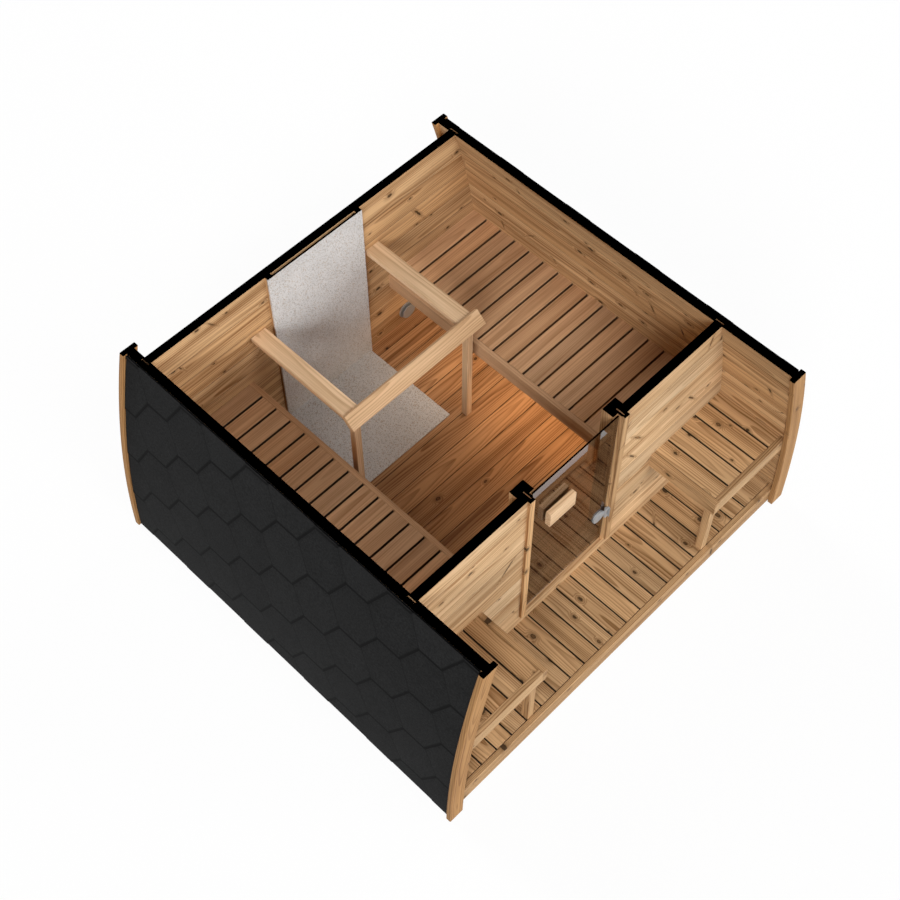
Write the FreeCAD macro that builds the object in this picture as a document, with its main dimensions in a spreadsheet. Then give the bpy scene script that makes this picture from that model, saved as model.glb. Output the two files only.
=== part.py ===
import FreeCAD, Part
import os

# Outdoor sauna cabin, shown cut level at 1240 mm above the ground.
# The origin is at ground level, under the middle of the section rectangle.
# +X is to the right when facing the door, the door and porch are towards -Y, +Z is up.

os.makedirs("parts", exist_ok=True)

# Sizes in millimetres
SIZES = {
    # Overall
    "section_height": 1240,  # level cut through walls and door
    "body_half_length": 1068,  # half length of the side walls, front to back
    "side_half_width": 1186,  # half width at the widest level of the bowed sides
    # Bowed side walls, each an arc about a line along Y
    "side_radius": 5075,  # radius to the outer edge of the end trims
    "side_centre_height": -117,  # height of the widest level
    "side_bottom": 12,  # lower edge of side walls, shingles and porch beam
    "shingle_recess": 10,  # trims stand proud of the shingles
    "shingle_thickness": 9,  # shingle layer
    "side_board": 42,  # side wall boards
    "shingle_stop": 5,  # shingles stop short of the trims
    "trim_width": 81,  # end trim, across the wall
    "trim_thickness": 27,  # end trim, along Y
    "groove_depth": 17,  # groove in the side walls for the end walls
    "groove_clearance": 5,  # end walls stop short of the groove bottom
    # End walls
    "end_board": 44,  # front and back wall boards
    "back_overhang": 69,  # side walls run on past the back wall
    "porch_depth": 387,  # side walls run on past the front wall
    "base_top": 176,  # top of the front wall board that runs under the door
    # Floors
    "floor_top": 147,  # interior floor surface
    "deck_top": 123,  # porch deck surface
    "floor_board": 28,  # floor and deck boards
    "bearer_width": 45,  # floor bearers
    "bearer_base": 75,  # bearer height under the end walls
    "bearer_spread": 700,  # outer bearers, distance from the middle
    "porch_beam": 28,  # porch front beam
    # Doorway
    "opening_half_width": 274,  # half width of the opening that the glass stands in
    "stop_rebate": 29,  # door stops stand into the opening
    "lining_thickness": 12,  # lining beside the glass
    "lining_gap": 5,  # gap between lining and wall end
    "stop_set_back": 24,  # door stops, behind the outer wall face
    "inner_casing_width": 84,  # inner casing
    "inner_casing_reach": 43,  # inner casing stands into the room
    "outer_casing_reveal": 4,  # outer casing set back from the lining edge
    "outer_casing_width": 31,  # outer casing
    "outer_casing_thickness": 15.5,  # outer casing
    "outer_casing_foot": 19,  # outer casing starts above the base board
    "sill_stop_height": 59,  # stop behind the glass foot, above the base board
    # Door
    "glass_thickness": 8,  # door glass
    "glass_foot_gap": 35,  # gap from the base board to the glass
    "door_clearance": 6,  # gap from the glass to stops and lining
    "hinge_radius": 6,  # hinge barrel
    "hinge_clearance": 5,  # gap from the glass to the hinge barrel
    "hinge_pin": 4,  # hinge pin radius
    "hinge_bore_clearance": 0.1,  # radial play of the barrel on the pin
    "hinge_end_play": 0.5,  # play between the hinge knuckles
    "hinge_inset": 15,  # hinge axis inside the casing edge
    "hinge_height": 455,  # middle of the visible hinge
    "hinge_length": 80,  # hinge height
    "hinge_plate": 2,  # hinge plate on the casing
    "knuckle_length": 36,  # moving knuckle height
    "disc_radius": 37,  # glass clamp disc
    "disc_thickness": 8,  # glass clamp disc
    "disc_from_axis": 41,  # disc centre to hinge axis
    "handle_left": 178,  # handle end nearest the free edge, from the middle
    "handle_width": 162,  # handle
    "handle_height": 98,  # handle
    "handle_thickness": 29,  # handle
    "handle_bottom": 898,  # lower edge of the handle
    "handle_stand_off": 6.5,  # gap between handle and glass
    "handle_post": 9,  # handle stand-off radius
    # Room benches
    "bench_top": 597,  # seat height
    "bench_slat": 24,  # slats
    "bench_left_front": 442,  # front edge of the left bench from the middle
    "bench_right_front": 464,  # front edge of the right bench from the middle
    "fascia_thickness": 28,  # bench front board
    "fascia_height": 90,  # bench front board
    "batten_width": 45,  # battens under the slats
    "batten_height": 45,  # battens under the slats
    "wall_batten_inset": 150,  # wall batten from the side wall at its widest
    # Porch benches
    "porch_bench_top": 609,  # seat height
    "porch_bench_inner": 564,  # inner edge from the middle
    "porch_board": 28,  # porch bench boards
    "porch_rail": 28,  # porch bench rails
    "porch_rail_height": 90,  # porch bench rails
    "leg_width": 40,  # porch bench leg
    # Heat shield and its floor panel
    "shield_left": 281,  # left edge of the wall panel
    "shield_right": 301,  # right edge of the wall panel
    "shield_thickness": 9,  # wall panel
    "shield_gap": 12,  # wall panel stands off the back wall
    "shield_batten": 31,  # batten width behind the panel
    "panel_left": 274,  # left edge of the floor panel
    "panel_right": 292,  # right edge of the floor panel
    "panel_depth": 574,  # floor panel, front to back
    "panel_thickness": 8,  # floor panel
    # Guard around the heater place
    "guard_rail_top": 910,  # top of the side rails
    "guard_board": 28,  # guard boards
    "guard_rail_outer": 410,  # outer edge of the side rails
    "guard_rail_width": 88,  # side rails
    "guard_front_half": 425,  # half length of the sloping front rail
    "guard_depth": 705,  # front lower edge of the front rail, from the back wall
    "guard_front_edge_height": 889,  # height of that edge
    "guard_front_width": 82,  # front rail width, up the slope
    "guard_slope": 45,  # slope of the front rail in degrees
    "post_outer": 385,  # outer side of the guard posts
    "post_size": 37,  # guard post section
    "post_set_back": 44,  # guard posts behind the front edge
    # Air valve
    "valve_across": 572,  # centre from the middle
    "valve_height": 226,  # centre above the ground
    "valve_radius": 50,  # flange
    "valve_disc": 42,  # disc radius
    "valve_flange": 6,  # flange and disc thickness
    "valve_stem": 12,  # stem radius
    "valve_reach": 24,  # disc stands from the wall
}

doc = FreeCAD.newDocument("sauna_cabin")
sizes = doc.addObject("Spreadsheet::Sheet", "sizes")
sizes.Label = "sizes"
for row, (name, number) in enumerate(SIZES.items(), start=1):
    sizes.set("A%d" % row, name.replace("_", " "))
    sizes.set("B%d" % row, str(number))
    sizes.setAlias("B%d" % row, name)
doc.recompute()

INNER = "(sizes.side_radius - sizes.shingle_recess - sizes.shingle_thickness - sizes.side_board)"
BOARD_OUT = "(sizes.side_radius - sizes.shingle_recess - sizes.shingle_thickness)"
SHINGLE_OUT = "(sizes.side_radius - sizes.shingle_recess)"
FRONT_OUT = "(sizes.porch_depth - sizes.body_half_length)"
FRONT_IN = "(sizes.porch_depth + sizes.end_board - sizes.body_half_length)"
BACK_IN = "(sizes.body_half_length - sizes.back_overhang - sizes.end_board)"
BACK_OUT = "(sizes.body_half_length - sizes.back_overhang)"
TOP = "sizes.section_height"
BEAM_BACK = "(sizes.porch_beam - sizes.body_half_length)"
FLOOR_UNDER = "(sizes.floor_top - sizes.floor_board)"
DECK_UNDER = "(sizes.deck_top - sizes.floor_board)"
REACH = "(sizes.side_half_width + 50)"
STOP_EDGE = "(sizes.opening_half_width - sizes.stop_rebate)"
STOP_FACE = "(%s + sizes.stop_set_back)" % FRONT_OUT
JAMB_OUTER = "(sizes.opening_half_width + sizes.lining_thickness)"
CASING_EDGE = "(sizes.opening_half_width + sizes.outer_casing_reveal)"
CASING_FACE = "(%s - sizes.outer_casing_thickness)" % FRONT_OUT
SHIELD_BACK = "(%s - sizes.shield_gap)" % BACK_IN
SHIELD_FACE = "(%s - sizes.shield_thickness)" % SHIELD_BACK
GUARD_FRONT = "(%s - sizes.guard_depth)" % BACK_IN
GUARD_UNDER = "(sizes.guard_rail_top - sizes.guard_board)"
LYING = FreeCAD.Rotation(FreeCAD.Vector(1, 0, 0), -90)


def bind(item, **links):
    """Tie properties of an object to expressions over the table."""
    for key, expression in links.items():
        item.setExpression(key.replace("_", "."), expression)


def box(name, x, y, z):
    """A box from pairs of low and high expressions."""
    item = doc.addObject("Part::Box", name)
    bind(item, Placement_Base_x=x[0], Placement_Base_y=y[0], Placement_Base_z=z[0])
    bind(item, Length="(%s) - (%s)" % (x[1], x[0]))
    bind(item, Width="(%s) - (%s)" % (y[1], y[0]))
    bind(item, Height="(%s) - (%s)" % (z[1], z[0]))
    return item


def barrel(name, side, radius, y):
    """A lying cylinder about one wall's arc centre; side is 1 for right, -1 for left."""
    item = doc.addObject("Part::Cylinder", name)
    item.Placement = FreeCAD.Placement(FreeCAD.Vector(0, 0, 0), LYING)
    bind(item, Placement_Base_x="%d * (sizes.side_radius - sizes.side_half_width)" % -side)
    bind(item, Placement_Base_y=y[0], Placement_Base_z="sizes.side_centre_height")
    bind(item, Radius=radius, Height="(%s) - (%s)" % (y[1], y[0]))
    return item


def rod(name, direction, radius, centre, length):
    """A round bar along Y or Z from the low end of its length."""
    item = doc.addObject("Part::Cylinder", name)
    if direction == "Y":
        item.Placement = FreeCAD.Placement(FreeCAD.Vector(0, 0, 0), LYING)
        base = (centre[0], length[0], centre[1])
    else:
        base = (centre[0], centre[1], length[0])
    bind(item, Placement_Base_x=base[0], Placement_Base_y=base[1], Placement_Base_z=base[2])
    bind(item, Radius=radius, Height="(%s) - (%s)" % (length[1], length[0]))
    return item


def fuse(name, pieces):
    item = doc.addObject("Part::MultiFuse", name)
    item.Shapes = pieces
    item.Refine = True
    return item


def common(name, pieces):
    item = doc.addObject("Part::MultiCommon", name)
    item.Shapes = pieces
    item.Refine = True
    return item


def cut(name, base, tool):
    item = doc.addObject("Part::Cut", name)
    item.Base = base
    item.Tool = tool
    item.Refine = True
    return item


def minus(expression):
    return "(-(%s))" % expression


def mirrored(side, low, high):
    """A span across X, given for the right side and mirrored for the left."""
    if side > 0:
        return (low, high)
    return (minus(high), minus(low))


def arc_board(name, side, outer, inner, y, z):
    """A board bent to the side wall's arc."""
    solid = barrel(name + "_outer", side, outer, y)
    hollow = barrel(name + "_inner", side, inner, y)
    ring = cut(name + "_ring", solid, hollow)
    window = box(name + "_window", mirrored(side, "0", REACH), y, z)
    return common(name, [ring, window])


def between_walls(name, radius, x, y, z):
    """A slab across the cabin whose ends follow both side walls."""
    slab = box(name + "_slab", x, y, z)
    right = barrel(name + "_right", 1, radius, y)
    left = barrel(name + "_left", -1, radius, y)
    return common(name, [slab, right, left])


finished = []


def finish(item, label):
    item.Label = label
    finished.append(item)


SIDES = (("left", -1), ("right", 1))
ENDS_IN_GROOVE = "(%s + sizes.groove_depth - sizes.groove_clearance)" % INNER
WHOLE = (minus(REACH), REACH)

# Side walls with a groove for each end wall, their shingle layer and the end trims
for word, side in SIDES:
    span = ("-sizes.body_half_length", "sizes.body_half_length")
    wall = arc_board("wall_" + word, side, BOARD_OUT, INNER, span, ("sizes.side_bottom", TOP))
    groove_radius = "(%s + sizes.groove_depth)" % INNER
    front_groove = barrel("front_groove_" + word, side, groove_radius, (FRONT_OUT, FRONT_IN))
    back_groove = barrel("back_groove_" + word, side, groove_radius, (BACK_IN, BACK_OUT))
    grooves = fuse("grooves_" + word, [front_groove, back_groove])
    finish(cut("grooved_wall_" + word, wall, grooves), "side_wall_" + word)
    cover = ("(sizes.shingle_stop - sizes.body_half_length)", "(sizes.body_half_length - sizes.shingle_stop)")
    skin = arc_board("skin_" + word, side, SHINGLE_OUT, BOARD_OUT, cover, ("sizes.side_bottom", TOP))
    finish(skin, "shingles_" + word)
    trim_inner = "(sizes.side_radius - sizes.trim_width)"
    far = "(sizes.body_half_length + sizes.trim_thickness)"
    front = (minus(far), "-sizes.body_half_length")
    back = ("sizes.body_half_length", far)
    trim = arc_board("front_edge_" + word, side, "sizes.side_radius", trim_inner, front, ("0", TOP))
    finish(trim, "trim_front_" + word)
    trim = arc_board("back_edge_" + word, side, "sizes.side_radius", trim_inner, back, ("0", TOP))
    finish(trim, "trim_back_" + word)

# End walls
back_wall = between_walls("rear", ENDS_IN_GROOVE, WHOLE, (BACK_IN, BACK_OUT), ("sizes.bearer_base", TOP))
finish(back_wall, "back_wall")
low = ("sizes.bearer_base", "sizes.base_top")
base = between_walls("base", ENDS_IN_GROOVE, WHOLE, (FRONT_OUT, FRONT_IN), low)
finish(base, "front_wall_base")
for word, side in SIDES:
    across = mirrored(side, "(%s + sizes.lining_gap)" % JAMB_OUTER, REACH)
    slab = box("front_slab_" + word, across, (FRONT_OUT, FRONT_IN), ("sizes.base_top", TOP))
    end = barrel("front_end_" + word, side, ENDS_IN_GROOVE, (FRONT_OUT, FRONT_IN))
    finish(common("front_" + word, [slab, end]), "front_wall_" + word)

# Floors on three bearers
room = (FRONT_IN, BACK_IN)
porch = (BEAM_BACK, FRONT_OUT)
floor = between_walls("floor", INNER, WHOLE, room, (FLOOR_UNDER, "sizes.floor_top"))
finish(floor, "interior_floor")
deck = between_walls("deck", INNER, WHOLE, porch, (DECK_UNDER, "sizes.deck_top"))
finish(deck, "porch_deck")
beam_span = ("-sizes.body_half_length", BEAM_BACK)
beam = between_walls("beam", INNER, WHOLE, beam_span, ("sizes.side_bottom", "sizes.deck_top"))
finish(beam, "porch_front_beam")
for word, step in (("left", -1), ("middle", 0), ("right", 1)):
    centre = "%d * sizes.bearer_spread" % step
    across = ("(%s - sizes.bearer_width / 2)" % centre, "(%s + sizes.bearer_width / 2)" % centre)
    base_bar = box("bearer_base_" + word, across, (BEAM_BACK, BACK_OUT), ("0", "sizes.bearer_base"))
    room_bar = box("bearer_room_" + word, across, room, ("0", FLOOR_UNDER))
    porch_bar = box("bearer_porch_" + word, across, porch, ("0", DECK_UNDER))
    finish(fuse("bearer_" + word, [base_bar, room_bar, porch_bar]), "floor_bearer_" + word)

# Door frame: inner casing, lining with its stop, outer casing
frame_height = ("sizes.base_top", TOP)
for word, side in SIDES:
    casing = box(
        "inner_casing_" + word,
        mirrored(side, STOP_EDGE, "(%s + sizes.inner_casing_width)" % STOP_EDGE),
        (FRONT_IN, "(%s + sizes.inner_casing_reach)" % FRONT_IN),
        frame_height,
    )
    stop = box(
        "stop_" + word,
        mirrored(side, STOP_EDGE, JAMB_OUTER),
        (STOP_FACE, FRONT_IN),
        frame_height,
    )
    lining = box(
        "lining_" + word,
        mirrored(side, "sizes.opening_half_width", JAMB_OUTER),
        (FRONT_OUT, STOP_FACE),
        frame_height,
    )
    cover = box(
        "outer_casing_" + word,
        mirrored(side, CASING_EDGE, "(%s + sizes.outer_casing_width)" % CASING_EDGE),
        (CASING_FACE, FRONT_OUT),
        ("(sizes.base_top + sizes.outer_casing_foot)", TOP),
    )
    finish(fuse("jamb_" + word, [casing, stop, lining, cover]), "door_jamb_" + word)

sill = box(
    "sill",
    (minus(STOP_EDGE), STOP_EDGE),
    (STOP_FACE, "(%s + sizes.inner_casing_reach)" % FRONT_IN),
    ("sizes.base_top", "(sizes.base_top + sizes.sill_stop_height)"),
)
finish(sill, "door_sill")

# Glass door, hung on the right, opening outwards
GLASS_BACK = "(%s - sizes.door_clearance)" % STOP_FACE
GLASS_FACE = "(%s - sizes.glass_thickness)" % GLASS_BACK
GLASS_EDGE = "(sizes.opening_half_width - sizes.door_clearance)"
GLASS_FOOT = "(sizes.base_top + sizes.glass_foot_gap)"
AXIS_X = "(%s - sizes.hinge_inset)" % CASING_EDGE
AXIS_Y = "(%s - sizes.hinge_clearance - sizes.hinge_radius)" % GLASS_FACE
glass = box("pane", (minus(GLASS_EDGE), GLASS_EDGE), (GLASS_FACE, GLASS_BACK), (GLASS_FOOT, TOP))
finish(glass, "door_glass")

handle_span = ("-sizes.handle_left", "(sizes.handle_width - sizes.handle_left)")
handle_rise = ("sizes.handle_bottom", "(sizes.handle_bottom + sizes.handle_height)")
handle_middle = "(sizes.handle_bottom + sizes.handle_height / 2)"
for word, near, far in (
    ("outer", "(%s - sizes.handle_stand_off)" % GLASS_FACE, minus("sizes.handle_thickness")),
    ("inner", "(%s + sizes.handle_stand_off)" % GLASS_BACK, "sizes.handle_thickness"),
):
    other = "(%s + %s)" % (near, far)
    if word == "outer":
        depth = (other, near)
        gap = (near, GLASS_FACE)
    else:
        depth = (near, other)
        gap = (GLASS_BACK, near)
    pieces = [box("grip_" + word, handle_span, depth, handle_rise)]
    for place, share in (("a", 0.2), ("b", 0.8)):
        centre = ("(%s * sizes.handle_width - sizes.handle_left)" % share, handle_middle)
        pieces.append(rod("grip_post_%s_%s" % (word, place), "Y", "sizes.handle_post", centre, gap))
    finish(fuse("handle_" + word, pieces), "door_handle_" + word)

LOW_END = "(sizes.hinge_height - sizes.hinge_length / 2)"
HIGH_END = "(sizes.hinge_height + sizes.hinge_length / 2)"
KNUCKLE_LOW = "(sizes.hinge_height - sizes.knuckle_length / 2)"
KNUCKLE_HIGH = "(sizes.hinge_height + sizes.knuckle_length / 2)"
axis = (AXIS_X, AXIS_Y)
disc_x = "(%s - sizes.disc_from_axis)" % AXIS_X
disc_face = "(%s - sizes.disc_thickness)" % GLASS_FACE
disc = rod("disc", "Y", "sizes.disc_radius", (disc_x, "sizes.hinge_height"), (disc_face, GLASS_FACE))
arm = box("arm", (disc_x, AXIS_X), (AXIS_Y, disc_face), (KNUCKLE_LOW, KNUCKLE_HIGH))
knuckle = rod("knuckle", "Z", "sizes.hinge_radius", axis, (KNUCKLE_LOW, KNUCKLE_HIGH))
solid_hinge = fuse("hinge_solid", [disc, arm, knuckle])
bore = rod("bore", "Z", "sizes.hinge_pin + sizes.hinge_bore_clearance", axis, (LOW_END, HIGH_END))
finish(cut("hinge", solid_hinge, bore), "door_hinge")

pin = rod("pin", "Z", "sizes.hinge_pin", axis, (LOW_END, HIGH_END))
spans = (
    ("low", (LOW_END, "(%s - sizes.hinge_end_play)" % KNUCKLE_LOW)),
    ("high", ("(%s + sizes.hinge_end_play)" % KNUCKLE_HIGH, HIGH_END)),
)
pieces = [pin]
for word, rise in spans:
    pieces.append(rod("fixed_knuckle_" + word, "Z", "sizes.hinge_radius", axis, rise))
    block_y = ("(%s - sizes.hinge_radius)" % AXIS_Y, AXIS_Y)
    pieces.append(box("fixed_block_" + word, (AXIS_X, CASING_EDGE), block_y, rise))
plate_x = ("(%s - sizes.hinge_plate)" % CASING_EDGE, CASING_EDGE)
pieces.append(box("bracket_plate", plate_x, (CASING_FACE, AXIS_Y), (LOW_END, HIGH_END)))
finish(fuse("bracket", pieces), "hinge_bracket")

# Room benches: a front board, and slats on two battens
for word, side in SIDES:
    front_edge = "sizes.bench_%s_front" % word
    behind = "(%s + sizes.fascia_thickness)" % front_edge
    rise = ("(sizes.bench_top - sizes.fascia_height)", "sizes.bench_top")
    fascia = box("fascia_" + word, mirrored(side, front_edge, behind), room, rise)
    finish(fascia, "bench_%s_fascia" % word)
    under = "(sizes.bench_top - sizes.bench_slat)"
    batten_rise = ("(%s - sizes.batten_height)" % under, under)
    seat_slab = box("seat_" + word, mirrored(side, behind, REACH), room, (under, "sizes.bench_top"))
    near_batten = box(
        "near_batten_" + word,
        mirrored(side, behind, "(%s + sizes.batten_width)" % behind),
        room,
        batten_rise,
    )
    wall_line = "(%s + sizes.side_half_width - sizes.side_radius - sizes.wall_batten_inset)" % INNER
    wall_batten = box(
        "wall_batten_" + word,
        mirrored(side, wall_line, "(%s + sizes.batten_width)" % wall_line),
        room,
        batten_rise,
    )
    whole = fuse("seat_parts_" + word, [seat_slab, near_batten, wall_batten])
    limit = barrel("seat_limit_" + word, side, INNER, room)
    finish(common("seat_trimmed_" + word, [whole, limit]), "bench_%s_slats" % word)

# Porch benches: boards in a corner of the porch, a rail on the two open sides, a leg behind the rails
for word, side in SIDES:
    inner_edge = "sizes.porch_bench_inner"
    behind = "(%s + sizes.porch_rail)" % inner_edge
    rail_rise = ("(sizes.porch_bench_top - sizes.porch_rail_height)", "sizes.porch_bench_top")
    board_rise = ("(sizes.porch_bench_top - sizes.porch_board)", "sizes.porch_bench_top")
    boards = box("porch_boards_" + word, mirrored(side, behind, REACH), porch, board_rise)
    limit = barrel("porch_limit_" + word, side, INNER, porch)
    finish(common("porch_seat_" + word, [boards, limit]), "porch_bench_%s_boards" % word)
    side_rail = box("side_rail_" + word, mirrored(side, inner_edge, behind), porch, rail_rise)
    front_rail = box("front_rail_" + word, mirrored(side, inner_edge, REACH), beam_span, rail_rise)
    limit = barrel("rail_limit_" + word, side, INNER, ("-sizes.body_half_length", FRONT_OUT))
    rails = fuse("rails_" + word, [side_rail, front_rail])
    finish(common("porch_frame_" + word, [rails, limit]), "porch_bench_%s_rail" % word)
    leg = box(
        "leg_" + word,
        mirrored(side, behind, "(%s + sizes.leg_width)" % behind),
        (BEAM_BACK, "(%s + sizes.leg_width)" % BEAM_BACK),
        ("sizes.deck_top", board_rise[0]),
    )
    finish(leg, "porch_bench_%s_leg" % word)

# Heat shield on two battens, and the panel on the floor
shield_rise = ("sizes.floor_top", TOP)
shield_width = ("-sizes.shield_left", "sizes.shield_right")
left_batten = ("-sizes.shield_left", "(sizes.shield_batten - sizes.shield_left)")
right_batten = ("(sizes.shield_right - sizes.shield_batten)", "sizes.shield_right")
shield = box("shield", shield_width, (SHIELD_FACE, SHIELD_BACK), shield_rise)
batten_l = box("batten_l", left_batten, (SHIELD_BACK, BACK_IN), shield_rise)
batten_r = box("batten_r", right_batten, (SHIELD_BACK, BACK_IN), shield_rise)
finish(fuse("shield_fused", [shield, batten_l, batten_r]), "heat_shield")
panel_width = ("-sizes.panel_left", "sizes.panel_right")
panel_span = ("(%s - sizes.panel_depth)" % SHIELD_FACE, SHIELD_FACE)
panel_rise = ("sizes.floor_top", "(sizes.floor_top + sizes.panel_thickness)")
finish(box("panel", panel_width, panel_span, panel_rise), "floor_panel")

# Guard: a sloping front rail on two flat side rails and two posts
turn = FreeCAD.Rotation(FreeCAD.Vector(1, 0, 0), 45)


def sloping(name, width, height, y, z):
    """A bar across the cabin, tilted up towards the back; y and z place its lower front edge."""
    item = doc.addObject("Part::Box", name)
    item.Placement = FreeCAD.Placement(FreeCAD.Vector(0, 0, 0), turn)
    bind(item, Placement_Rotation_Angle="sizes.guard_slope")
    bind(item, Length="2 * sizes.guard_front_half", Width=width, Height=height)
    bind(item, Placement_Base_x="-sizes.guard_front_half", Placement_Base_y=y, Placement_Base_z=z)
    return item


under_y = "(%s + sizes.guard_board * sin(sizes.guard_slope * 1 deg))" % GUARD_FRONT
under_z = "(sizes.guard_front_edge_height - sizes.guard_board * cos(sizes.guard_slope * 1 deg))"
bar = sloping("sloping_rail", "sizes.guard_front_width", "sizes.guard_board", under_y, under_z)
finish(bar, "guard_front_rail")
for word, side in SIDES:
    flat = box(
        "flat_rail_" + word,
        mirrored(side, "(sizes.guard_rail_outer - sizes.guard_rail_width)", "sizes.guard_rail_outer"),
        (GUARD_FRONT, BACK_IN),
        (GUARD_UNDER, "sizes.guard_rail_top"),
    )
    low_y = "(%s - 2 * sizes.guard_front_width * cos(sizes.guard_slope * 1 deg))" % under_y
    low_z = "(%s - 2 * sizes.guard_front_width * sin(sizes.guard_slope * 1 deg))" % under_z
    reach = "4 * sizes.guard_front_width"
    above = sloping("above_rail_" + word, reach, reach, low_y, low_z)
    finish(cut("mitred_rail_" + word, flat, above), "guard_rail_" + word)
    post_front = "(%s + sizes.post_set_back)" % GUARD_FRONT
    post = box(
        "post_" + word,
        mirrored(side, "(sizes.post_outer - sizes.post_size)", "sizes.post_outer"),
        (post_front, "(%s + sizes.post_size)" % post_front),
        ("sizes.floor_top", GUARD_UNDER),
    )
    finish(post, "guard_post_" + word)

# Air valve low on the back wall, under the right bench
valve_at = ("sizes.valve_across", "sizes.valve_height")
flange = rod("flange", "Y", "sizes.valve_radius", valve_at, ("(%s - sizes.valve_flange)" % BACK_IN, BACK_IN))
stem = rod("stem", "Y", "sizes.valve_stem", valve_at, ("(%s - sizes.valve_reach)" % BACK_IN, BACK_IN))
disc_span = ("(%s - sizes.valve_reach)" % BACK_IN, "(%s - sizes.valve_reach + sizes.valve_flange)" % BACK_IN)
plate = rod("valve_plate", "Y", "sizes.valve_disc", valve_at, disc_span)
finish(fuse("valve", [flange, stem, plate]), "air_valve")

doc.recompute()
for item in doc.Objects:
    if "Invalid" in item.State or "Error" in item.State:
        raise RuntimeError("%s did not compute" % item.Label)
for item in finished:
    shape = item.Shape
    if shape.isNull() or not shape.isValid() or shape.Volume <= 0:
        raise RuntimeError("%s has no valid solid" % item.Label)
    if len(shape.Solids) != 1:
        raise RuntimeError("%s has %d solids" % (item.Label, len(shape.Solids)))
for item in finished:
    item.Shape.exportStep("parts/%s.step" % item.Label)
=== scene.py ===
import math
import random

import bmesh
import bpy
from mathutils import Matrix, Vector


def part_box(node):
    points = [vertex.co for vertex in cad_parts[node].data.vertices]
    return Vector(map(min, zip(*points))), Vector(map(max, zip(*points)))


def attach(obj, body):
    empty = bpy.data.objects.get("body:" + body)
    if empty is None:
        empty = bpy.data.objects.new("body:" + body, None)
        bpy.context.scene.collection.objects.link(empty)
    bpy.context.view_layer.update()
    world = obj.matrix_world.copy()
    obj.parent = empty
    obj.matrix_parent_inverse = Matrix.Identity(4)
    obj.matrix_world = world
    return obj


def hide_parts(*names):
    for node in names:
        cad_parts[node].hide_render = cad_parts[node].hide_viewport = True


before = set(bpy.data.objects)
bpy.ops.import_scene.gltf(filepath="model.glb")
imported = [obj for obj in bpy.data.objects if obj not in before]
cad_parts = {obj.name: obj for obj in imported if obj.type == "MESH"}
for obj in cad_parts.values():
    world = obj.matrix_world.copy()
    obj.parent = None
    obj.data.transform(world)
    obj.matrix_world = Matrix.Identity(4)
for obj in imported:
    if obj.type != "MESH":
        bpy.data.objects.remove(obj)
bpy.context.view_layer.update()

# Whole cabin, in millimetres as in the CAD model
MM = 0.001
SIDES = (("left", -1), ("right", 1))
TOP = 1240.0
HALF_LENGTH = 1068.0
SIDE_BOTTOM = 12.0
WALL_BOTTOM = 75.0
BASE_TOP = 176.0
FLOOR_TOP = 147.0
DECK_TOP = 123.0
FRONT_OUT = -681.0
FRONT_IN = -637.0
BACK_IN = 955.0
BACK_OUT = 999.0
PLANK = 28.0
PORCH_IN = -HALF_LENGTH + PLANK

# The bow: one arc centre for both sides, and the radius of each surface
WIDEST = 1186.0
ARC_Z = -117.0
R_TRIM = 5075.0
R_SHINGLE = 5065.0
R_BOARD = 5056.0
R_TONGUE_OUT = 5042.0
R_TONGUE_IN = 5034.0
R_GROOVE = 5031.0
R_END = 5026.0
R_INNER = 5014.0
R_TRIM_INNER = 4994.0
ARC_X = R_TRIM - WIDEST

# Boards and shingles
JOINT = 1.0
BOARD_COVER = 135.0
SMALL_EDGE = 0.5
EDGE = 2.0
WALL_EDGE = 1.8
SHINGLE_PITCH = 420.0
COURSE = 157.5
FLAT = 128.0
SLANT = 82.0

# Tolerances in millimetres
AT_CUT = 0.3
JOINT_DEPTH = 0.01
SNAP = 0.1
SAME_PLACE = 1e-3
TINY = 1e-6


def wall_x(radius, z):
    """Distance from the middle to a bowed surface at a height."""
    return math.sqrt(radius * radius - (z - ARC_Z) ** 2) - ARC_X


def wall_end(side, radius):
    """Where a board along X meets a bowed surface."""
    return lambda y, z: side * wall_x(radius, z)


def wall_to_wall(radius):
    """Start and end of a board along X between both side walls."""
    return wall_end(-1, radius), wall_end(1, radius)


def out_to_wall(side, inner_x, radius):
    """Start and end of a board along X between inner_x and the side wall on its side."""
    if side > 0:
        return inner_x, wall_end(1, radius)
    return wall_end(-1, radius), -inner_x


def span_x(side, near, far):
    """Low and high x of what lies between two distances from the middle."""
    return sorted((side * near, side * far))


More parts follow.
